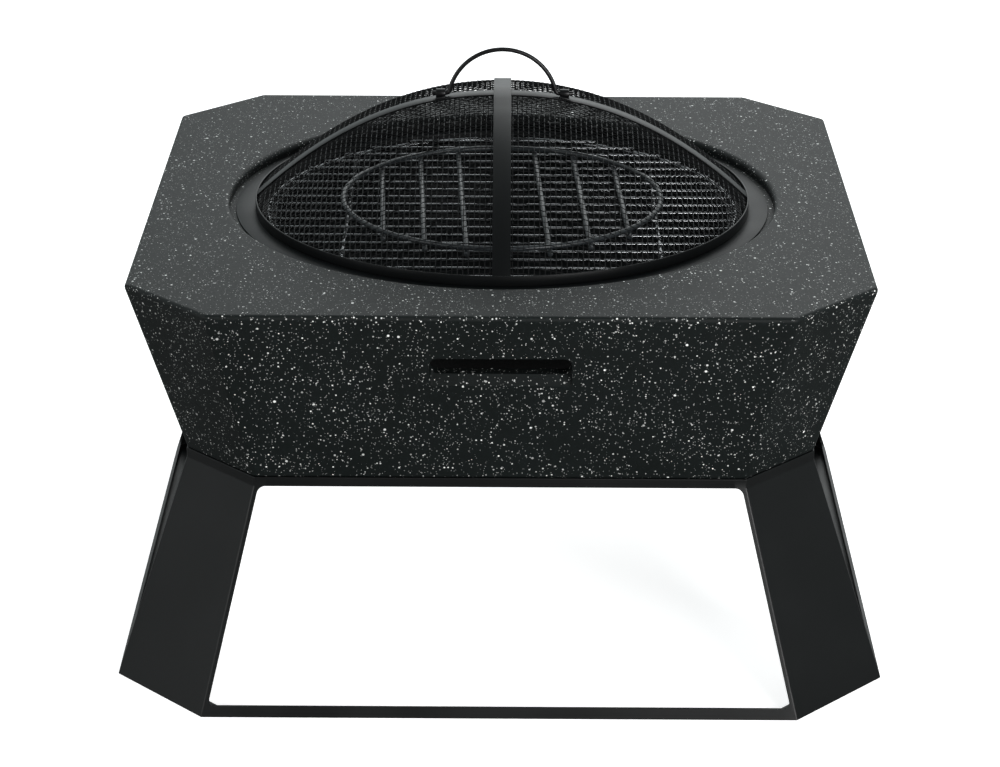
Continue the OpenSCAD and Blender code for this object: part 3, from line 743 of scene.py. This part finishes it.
class FIREPIT_OT_stand(bpy.types.Operator):
    """Folds the stand from one ring of sheet, opens its sides and parts it into legs and rails"""

    bl_idname = "firepit.stand"
    bl_label = "Stand"

    def execute(self, context):
        v, stone = context.scene.pit_stand, context.scene.pit_stone
        foot_w = 2 * STAND_HI.x
        collar_z = SEAT_Z - v.collar
        ring = leaning_block(stone.base_width / 2, foot_w / 2,
                             corner_reach(stone.base_width, stone.base_cut),
                             corner_reach(foot_w, v.foot_cut), collar_z, 0.0)
        edit(ring)
        pick(ring, "FACE", lambda middle, face: abs(face.normal.z) > 0.9)
        bpy.ops.mesh.delete(type="ONLY_FACE")
        self.flange(ring, 0.0, 0.0, foot_w, v.foot_flange)
        self.flange(ring, collar_z, v.collar, stone.base_width, v.top_flange)
        edit(done(ring))
        bpy.ops.mesh.normals_make_consistent(inside=False)
        done(ring)
        modify(ring, "SOLIDIFY", thickness=v.sheet, offset=-1.0, use_even_offset=True)
        rounded(ring, v.bend, 3, 20)
        fold = (foot_w / 2 - v.foot_cut, stone.base_width / 2 - stone.base_cut)
        cut(ring, *(self.window(v, fold, collar_z, foot_w, turn) for turn in (0, math.pi / 2)))
        coat = coated("Powder coat", v.color, 0.42, 620.0, 0.12, level=0.25)
        past_corner = 0.002  # from a window's round corner to the joint between leg and rail
        joint_low, joint_high = (Vector((place - v.lip - v.window_radius - past_corner, 0, z))
                                 for place, z in zip(fold, (0, SEAT_Z)))
        seam = joint_high - joint_low
        past = Vector((seam.z, 0, -seam.x)).normalized()
        for turn, (leg, side) in enumerate((("front_right", "front"), ("back_right", "right"),
                                            ("back_left", "back"), ("front_left", "left"))):
            angle = turn * math.pi / 2
            about = Matrix.Rotation(angle, 3, "Z")
            other = Matrix.Rotation(angle + math.pi / 2, 3, "Z")
            mirrored = Vector((-past.x, 0, past.z))
            piece = trim(copy_of(ring), about @ joint_low, about @ -past, fill=False)
            piece = trim(piece, other @ Vector((-joint_low.x, 0, 0)), other @ -mirrored, fill=False)
            settle(closed_up(piece), f"stand_leg_{leg}", coat, "root", [f"leg_{leg}"], angle=30,
                   weighted=True)
            rail = trim(copy_of(ring), about @ joint_low, about @ past, fill=False)
            rail = trim(rail, about @ Vector((-joint_low.x, 0, 0)), about @ mirrored, fill=False)
            rail = trim(rail, (0, 0, 0), about @ Vector((0, 1, 0)), fill=False)
            for name, normal in ((f"floor_rail_{side}", (0, 0, 1)), (f"top_rail_{side}", (0, 0, -1))):
                part = closed_up(trim(copy_of(rail), (0, 0, SEAT_Z / 2), normal, fill=False))
                settle(part, f"stand_{name}", coat, "root", [name], angle=30, weighted=True)
            bpy.data.objects.remove(rail)
        bpy.data.objects.remove(ring)
        return {"FINISHED"}

    def flange(self, ring, z, rise, width, inward):
        """Folds a flange inwards from an open edge, on an upright collar where there is a rise."""
        pick(ring, "EDGE", lambda middle, edge: edge.is_boundary and abs(middle.z - z) < NEAR)
        if rise:
            bpy.ops.mesh.extrude_region_move(TRANSFORM_OT_translate={"value": (0, 0, rise)})
        bpy.ops.mesh.extrude_region_move(TRANSFORM_OT_translate={"value": (0, 0, 0)})
        share = 1 - 2 * inward / width
        bpy.ops.transform.resize(value=(share, share, 1), center_override=(0, 0, z + rise))

    def window(self, v, fold, collar_z, foot_w, turn):
        """The cutter for two opposite open sides, with round corners."""
        low, high = v.rail, collar_z
        half = [fold[0] + (fold[1] - fold[0]) * z / collar_z - v.lip for z in (low, high)]
        through = foot_w * 1.2
        cutter = block((0, 0, (low + high) / 2), (2 * half[0], through, high - low))
        pick(cutter, "FACE", lambda middle, face: middle.z > high - NEAR)
        bpy.ops.transform.resize(value=(half[1] / half[0], 1, 1), center_override=(0, 0, high))
        pick(cutter, "EDGE", lambda middle, edge: abs(middle.y) < NEAR)
        bpy.ops.mesh.bevel(offset=v.window_radius, segments=5, affect="EDGES")
        return turned(done(cutter), turn)


# ---- Fire bowl ----


class FIREPIT_OT_fire_bowl(bpy.types.Operator):
    """Presses the fire bowl with its flange, step and drain hole"""

    bl_idname = "firepit.fire_bowl"
    bl_label = "Fire Bowl"

    def execute(self, context):
        v = context.scene.pit_bowl
        mouth, step_z = FLANGE_R - v.flange, FLANGE_Z - v.step_drop
        lip, bottom = mouth - v.step_width, BOWL_LO.z + v.sheet
        soft = 0.0022  # rounding of the step's corners
        outline = [(FLANGE_R, FLANGE_Z), (mouth + v.bend, FLANGE_Z)]
        outline += [(mouth + v.bend * (1 - math.sin(a)), FLANGE_Z - v.bend * (1 - math.cos(a)))
                    for a in (math.radians(22.5 * k) for k in (1, 2, 3, 4))]
        outline += [(mouth, step_z + soft), (mouth - soft * 0.3, step_z + soft * 0.3),
                    (mouth - soft, step_z), (lip + soft, step_z)]
        wide, deep = lip - v.dish_flat, step_z - bottom
        outline += [(v.dish_flat + wide * math.cos(a), step_z - deep * math.sin(a))
                    for a in (math.radians(6 * k) for k in range(16))]
        outline += [(v.dish_flat * 0.6, bottom), (v.drain, bottom), (v.drain / 2, bottom)]
        bowl = facing_up(lathe(outline, 160))
        modify(bowl, "SOLIDIFY", thickness=v.sheet, offset=-1.0)
        rounded(bowl, SHEET_EDGE, 2, 50)
        paint = coated("Bowl paint", v.color, 0.5, 480.0, 0.2, 1.5, level=0.14)
        settle(bowl, "pressed_bowl", paint, "bowl", ["fire_bowl"], angle=35)
        return {"FINISHED"}


# ---- Cooking grid and log grate ----


class FIREPIT_OT_cooking_grid(bpy.types.Operator):
    """Bends and welds the chromed cooking grid"""

    bl_idname = "firepit.cooking_grid"
    bl_label = "Cooking Grid"

    def execute(self, context):
        v = context.scene.pit_grids
        chrome = chrome_material("Chrome", v.chrome, 0.22)
        thick = GRID_HI.z - GRID_LO.z
        radius, ring_z = GRID_HI.x - thick / 2, (GRID_LO.z + GRID_HI.z) / 2
        ring = ring_of_rod(radius, thick, ring_z, math.radians(250))
        settle(ring, "cooking_grid_ring", chrome, "grid", ["grid_ring"])
        wire_d, wire_z = WIRE_HI.z - WIRE_LO.z, (WIRE_LO.z + WIRE_HI.z) / 2
        wires = []
        for row in range(v.wire_count):
            y = (row - (v.wire_count - 1) / 2) * v.wire_pitch
            half = math.sqrt(radius ** 2 - y ** 2)
            wires.append(rod((-half, y, wire_z), (half, y, wire_z), wire_d, 12))
        settle(joined(wires), "cooking_grid_wires", chrome, "grid", ["grid_wires"])
        bar_d, bar_z = BAR_HI.z - BAR_LO.z, (BAR_LO.z + BAR_HI.z) / 2
        bars = [rod((x, BAR_LO.y, bar_z), (x, BAR_HI.y, bar_z), bar_d, 12)
                for x in (BAR_LO.x + bar_d / 2, BAR_HI.x - bar_d / 2)]
        settle(joined(bars), "cooking_grid_bars", chrome, "grid", ["grid_bars"])
        return {"FINISHED"}


class FIREPIT_OT_log_grate(bpy.types.Operator):
    """Bends and welds the round log grate"""

    bl_idname = "firepit.log_grate"
    bl_label = "Log Grate"

    def execute(self, context):
        v = context.scene.pit_grids
        enamel = coated("Grate enamel", v.enamel, 0.38, 380.0, 0.2, 1.8, level=0.4)
        thick = GRATE_HI.z - GRATE_LO.z
        outer, ring_z = GRATE_HI.x, (GRATE_LO.z + GRATE_HI.z) / 2
        ring = ring_of_rod(outer - thick / 2, thick, ring_z, math.radians(100), 128)
        settle(ring, "log_grate_ring", enamel, "grate", ["grate_ring"])
        bar_z = (ROD_LO.z + ROD_HI.z) / 2
        bars = []
        for k in range(v.bar_count):
            x = (k - (v.bar_count - 1) / 2) * v.bar_pitch
            half = math.sqrt(outer ** 2 - x ** 2) + v.bar_overhang
            bars.append(turned(rod((x, -half, bar_z), (x, half, bar_z), thick, 16), v.grate_turn))
        settle(joined(bars), "log_grate_bars", enamel, "grate", ["grate_bars"])
        return {"FINISHED"}


# ---- Spark screen ----


def dome(v):
    """The dome's height at a distance from the axis, and the same point set off from the dome."""
    edge_z, inner = RING_HI.z - v.edge_drop, RING_R - v.ring_thickness
    rise = MESH_HI.z - edge_z

    def height(r):
        return edge_z + rise * (1 - (min(r, inner) / inner) ** v.dome_power)

    def off(r, distance):
        slope = rise * v.dome_power / inner * (r / inner) ** (v.dome_power - 1)
        size = math.hypot(slope, 1)
        return r + distance * slope / size, height(r) + distance / size

    return inner, height, off


class FIREPIT_OT_screen_ring(bpy.types.Operator):
    """Rolls the screen's ring"""

    bl_idname = "firepit.screen_ring"
    bl_label = "Screen Ring"

    def execute(self, context):
        v = context.scene.pit_screen
        inner, low, high = RING_R - v.ring_thickness, RING_LO.z, RING_HI.z
        ring = lathe([(RING_R, low), (RING_R, high), (inner, high), (inner, low)], 192, closed=True)
        rounded(ring, 0.0006, 3, 40)
        paint = coated("Screen paint", v.color, 0.4, 560.0, 0.1, level=0.12)
        settle(ring, "screen_band", paint, "screen", ["screen_ring"])
        return {"FINISHED"}


class FIREPIT_OT_screen_mesh(bpy.types.Operator):
    """Weaves the dome: two sets of wires that pass over and under each other"""

    bl_idname = "firepit.screen_mesh"
    bl_label = "Woven Mesh"

    def execute(self, context):
        v = context.scene.pit_screen
        inner, height, _ = dome(v)
        count = int(inner / v.mesh_pitch)
        end_gap = 0.3  # the least distance from the last crossing to the ring, in pitches
        sets = []
        for across in (False, True):
            points, edges = [], []
            for row in range(-count, count + 1):
                a = row * v.mesh_pitch
                half = math.sqrt(max(inner ** 2 - a ** 2, 0))
                if half < v.mesh_pitch:
                    continue
                steps = int(half / v.mesh_pitch - end_gap)
                run = [-half] + [k * v.mesh_pitch for k in range(-steps, steps + 1)] + [half]
                start = len(points)
                for k, b in enumerate(run):
                    column = round(b / v.mesh_pitch)
                    side = 1 if (row + column + across) % 2 else -1
                    if abs(b) == half:
                        side = 0
                    z = height(math.hypot(a, b)) + side * v.mesh_wire * 0.5 - v.mesh_wire
                    points.append((a, b, z) if across else (b, a, z))
                    if k:
                        edges.append((start + k - 1, start + k))
            mesh = bpy.data.meshes.new("woven")
            mesh.from_pydata(points, edges, [])
            obj = bpy.data.objects.new("woven", mesh)
            context.scene.collection.objects.link(obj)
            make_active(obj)
            bpy.ops.object.convert(target="CURVE")
            obj = context.object
            obj.data.bevel_depth = v.mesh_wire / 2
            obj.data.bevel_resolution = 0
            obj.data.use_fill_caps = True
            bpy.ops.object.convert(target="MESH")
            sets.append(tidy_normals(context.object))
        wire = coated("Mesh paint", v.mesh_color, 0.4, 900.0, 0.05, 2.0, level=0.25)
        settle(joined(sets), "woven_dome", wire, "screen", ["screen_mesh"], angle=60)
        return {"FINISHED"}


def band(points, width):
    """A flat band along X, drawn by extruding one edge from point to point of (x, z)."""
    x, z = points[0]
    obj = edit(add("plane", size=width, location=(x + width / 2, 0, z)))
    pick(obj, "VERT", lambda middle, vert: middle.x > x + width / 2)
    bpy.ops.mesh.delete(type="VERT")
    bpy.ops.mesh.select_mode(type="EDGE")
    bpy.ops.mesh.select_all(action="SELECT")
    for next_x, next_z in points[1:]:
        bpy.ops.mesh.extrude_region_move(TRANSFORM_OT_translate={"value": (next_x - x, 0, next_z - z)})
        x, z = next_x, next_z
    edit(done(obj))
    bpy.ops.mesh.normals_make_consistent(inside=False)
    return facing_up(done(obj))


class FIREPIT_OT_straps(bpy.types.Operator):
    """Bends the two crossed straps over the dome"""

    bl_idname = "firepit.straps"
    bl_label = "Straps"

    def execute(self, context):
        v = context.scene.pit_screen
        inner, height, off = dome(v)
        paint = bpy.data.materials["Screen paint"]
        last, step = inner - 0.0002, 0.011
        gap = 0.00002  # between a strap and what it lies on
        down_at, ramp = 0.030, 0.012  # where the upper strap is back on the dome, and its slope's length
        radii = [k * step for k in range(int(last / step) + 1)] + [last]
        for name, node, upper, turn in (("strap_across", "strap_left_right", False, 0),
                                        ("strap_along", "strap_front_back", True, math.pi / 2)):
            right = []
            for r in radii:
                x, z = off(r, gap)
                if upper:
                    reach = max(0.0, min(1.0, (down_at - r) / ramp))
                    z = height(r) + gap + (v.strap_thickness + gap) * reach * reach * (3 - 2 * reach)
                right.append((min(x, last), z))
            left = [(-x, z) for x, z in reversed(right[1:])]
            strap = band(left + right, v.strap_width)
            modify(strap, "SOLIDIFY", thickness=v.strap_thickness, offset=1.0, use_even_offset=True)
            rounded(strap, SHEET_EDGE, 2, 50)
            settle(turned(strap, turn), name, paint, "screen", [node], angle=35)
        return {"FINISHED"}


class FIREPIT_OT_handle(bpy.types.Operator):
    """Bends the handle's wire and draws the two lugs that it swings in"""

    bl_idname = "firepit.handle"
    bl_label = "Handle"

    def execute(self, context):
        v = context.scene.pit_screen
        paint = coated("Handle paint", v.handle_color, 0.35, 700.0, 0.08, level=0.25)
        self.bail(v, paint)
        lug = self.lug(v)
        other = turned(copy_of(lug), math.pi)
        settle(lug, "handle_clip_right", paint, "screen", ["handle_lug_right"], angle=35)
        settle(other, "handle_clip_left", paint, "screen", ["handle_lug_left"], angle=35)
        return {"FINISHED"}

    def bail(self, v, paint):
        """Bends a half circle of wire whose ends turn outwards along the hinge line."""
        wire, soft = v.handle_wire, 0.0005
        arc_r = BAIL_HI.z - wire / 2 - (HINGE.z - v.arc_drop)
        reach, rise = arc_r + v.bend_radius, v.arc_drop + v.bend_radius
        turn = math.asin(rise / reach)
        bend_x = math.sqrt(reach ** 2 - rise ** 2)
        bail = edit(add("circle", vertices=20, radius=wire / 2, fill_type="NGON",
                        location=(BAIL_HI.x, 0, HINGE.z), rotation=(0, math.pi / 2, 0)))
        bpy.ops.mesh.extrude_region_move(TRANSFORM_OT_translate={"value": (bend_x - BAIL_HI.x, 0, 0)})
        for steps, angle, centre in (
            (8, -(math.pi / 2 - turn), (bend_x, 0, HINGE.z + v.bend_radius)),
            (48, math.pi - 2 * turn, (0, 0, HINGE.z - v.arc_drop)),
            (8, -(math.pi / 2 - turn), (-bend_x, 0, HINGE.z + v.bend_radius)),
        ):
            bpy.ops.mesh.spin(steps=steps, angle=angle, center=centre, axis=(0, 1, 0))
        bpy.ops.mesh.extrude_region_move(TRANSFORM_OT_translate={"value": (bend_x - BAIL_HI.x, 0, 0)})
        tidy_normals(done(bail))
        rounded(bail, soft, 2, 50)
        settle(bail, "handle_wire", paint, "handle", ["handle_bail"], angle=40)

    def lug(self, v):
        """Draws the right lug: a foot that leans with the strap, and an eye round the hinge line."""
        place, length = v.lug_place, v.lug_length
        foot_thickness, eye_wall, soft = 0.0015, 0.0021, 0.0005
        bore = v.handle_wire / 2 + 0.00008
        _, _, off = dome(v)
        seat_x, seat_z = off(place, v.strap_thickness + 0.00005)
        ahead_x, ahead_z = off(place + 0.004, v.strap_thickness)
        lean = math.atan2(seat_z - ahead_z, ahead_x - seat_x)
        foot = add("cube", size=1, scale=(length, v.strap_width, foot_thickness),
                   location=(0, 0, foot_thickness / 2))
        foot.rotation_euler, foot.location = (0, lean, 0), (seat_x, 0, seat_z)
        rounded(set_down(make_active(foot)), soft, 2, 40)
        on_hinge = {"vertices": 32, "location": (place, 0, HINGE.z), "rotation": (0, math.pi / 2, 0)}
        eye = rounded(add("cylinder", radius=bore + eye_wall, depth=length, **on_hinge), soft, 2, 40)
        trim(eye, (place, 0, seat_z + 0.0006), (0, 0, -1))
        modify(foot, "BOOLEAN", operation="UNION", object=eye, solver="EXACT")
        bpy.data.objects.remove(eye)
        cut(foot, add("cylinder", radius=bore, depth=4 * length, **on_hinge))
        return tidy_normals(foot)


# ---- Body fixings ----


class FIREPIT_OT_fixings(bpy.types.Operator):
    """Gives the hidden inserts, screws and washers their finishes"""

    bl_idname = "firepit.fixings"
    bl_label = "Body Fixings"

    def execute(self, context):
        brass = chrome_material("Turned brass", (0.62, 0.45, 0.18), 0.3)
        oxide = coated("Black oxide", (0.02, 0.02, 0.022), 0.35, 900.0, 0.05, 1.5, metallic=0.6)
        for node, material in (("body_inserts", brass), ("body_screws", oxide), ("body_washers", oxide)):
            data = frame["nodes"][node].data
            data.materials.clear()
            data.materials.append(material)
        return {"FINISHED"}


# ---- Studio ----


class FIREPIT_OT_studio(bpy.types.Operator):
    """Sets the pale floor, the soft lights and the camera"""

    bl_idname = "firepit.studio"
    bl_label = "Studio"

    def execute(self, context):
        v = context.scene.pit_studio
        below = 0.0002  # keeps the floor clear of the feet
        floor = add("plane", size=v.floor_size, location=(0, 0, CAD_BOX[0].z - below))
        floor.name = "floor"
        floor.data.materials.append(floor_material(v.bounce))
        world = bpy.data.worlds.new("Studio")
        context.scene.world = world
        world.use_nodes = True
        self.room(world.node_tree, v)
        aim = Vector((0, 0, (CAD_BOX[0].z + CAD_BOX[1].z) / 2))
        fill_share = 0.35  # power of the fill light as a share of the key light's
        for name, power, width, place in (
            ("Back light", v.back, 2.4, (0.5, 2.6, 1.9)),
            ("Key light", v.key, 1.6, (1.7, -2.8, 1.1)),
            ("Fill light", v.key * fill_share, 2.0, (-2.4, -1.8, 0.9)),
        ):
            lamp = bpy.data.lights.new(name, "AREA")
            lamp.energy, lamp.size = power, width
            obj = bpy.data.objects.new(name, lamp)
            obj.location = place
            obj.rotation_euler = (aim - Vector(place)).to_track_quat("-Z", "Y").to_euler()
            context.scene.collection.objects.link(obj)
        lens = bpy.data.cameras.new("Camera")
        lens.lens, lens.sensor_width, lens.shift_y = v.lens, 36.0, 0.004
        lens.clip_start, lens.clip_end = 0.05, 100.0
        camera = bpy.data.objects.new("Camera", lens)
        turn = (Matrix.Rotation(v.yaw, 4, "Z") @ Matrix.Rotation(math.pi / 2 - v.pitch, 4, "X")
                @ Matrix.Rotation(v.roll, 4, "Z"))
        camera.matrix_world = Matrix.Translation((v.side, -v.distance, TOP_Z + v.height)) @ turn
        context.scene.collection.objects.link(camera)
        context.scene.camera = camera
        context.scene.view_settings.view_transform = "Standard"
        return {"FINISHED"}

    def room(self, tree, v):
        """White to the camera; as a light, cool, bright behind the pit and dim in front."""
        s = Shader(tree)
        away = s.node("ShaderNodeTexCoord").outputs["Generated"]
        depth = s.node("ShaderNodeSeparateXYZ", {"Vector": away}).outputs["Y"]
        light = s.span(depth, -0.5, 0.7, v.room_front, v.room_back)
        seen = s.node("ShaderNodeLightPath").outputs["Is Camera Ray"]
        strength = s.node("ShaderNodeMix", {"Factor": seen, "A": light, "B": 1.0}).outputs["Result"]
        background = tree.nodes["Background"]
        tree.links.new(s.mix(seen, (0.93, 1.02, 1.03, 1), (1, 1, 1, 1)), background.inputs["Color"])
        tree.links.new(strength, background.inputs["Strength"])


# ---- Panel and registration ----

OPERATORS = (
    FIREPIT_OT_stone_body,
    FIREPIT_OT_stand,
    FIREPIT_OT_fixings,
    FIREPIT_OT_fire_bowl,
    FIREPIT_OT_cooking_grid,
    FIREPIT_OT_log_grate,
    FIREPIT_OT_screen_ring,
    FIREPIT_OT_screen_mesh,
    FIREPIT_OT_straps,
    FIREPIT_OT_handle,
    FIREPIT_OT_studio,
)


class FIREPIT_PT_panel(bpy.types.Panel):
    """Lists the pieces and their sizes"""

    bl_idname = "FIREPIT_PT_panel"
    bl_label = "Fire Pit"
    bl_space_type = "VIEW_3D"
    bl_region_type = "UI"
    bl_category = "Fire Pit"

    def draw(self, context):
        layout = self.layout
        for operator in OPERATORS:
            layout.operator(operator.bl_idname)
        for key, group in SETTINGS.items():
            box = layout.box()
            box.label(text=group.__doc__)
            for name in group.__annotations__:
                box.prop(getattr(context.scene, key), name)


def register():
    for made in (*SETTINGS.values(), *OPERATORS, FIREPIT_PT_panel):
        bpy.utils.register_class(made)
    for key, group in SETTINGS.items():
        setattr(bpy.types.Scene, key, bpy.props.PointerProperty(type=group))


def unregister():
    for key in SETTINGS:
        delattr(bpy.types.Scene, key)
    for made in reversed((*SETTINGS.values(), *OPERATORS, FIREPIT_PT_panel)):
        bpy.utils.unregister_class(made)


def main():
    register()
    for operator in OPERATORS:
        group, name = operator.bl_idname.split(".")
        getattr(getattr(bpy.ops, group), name)()


if __name__ == "__main__":
    main()
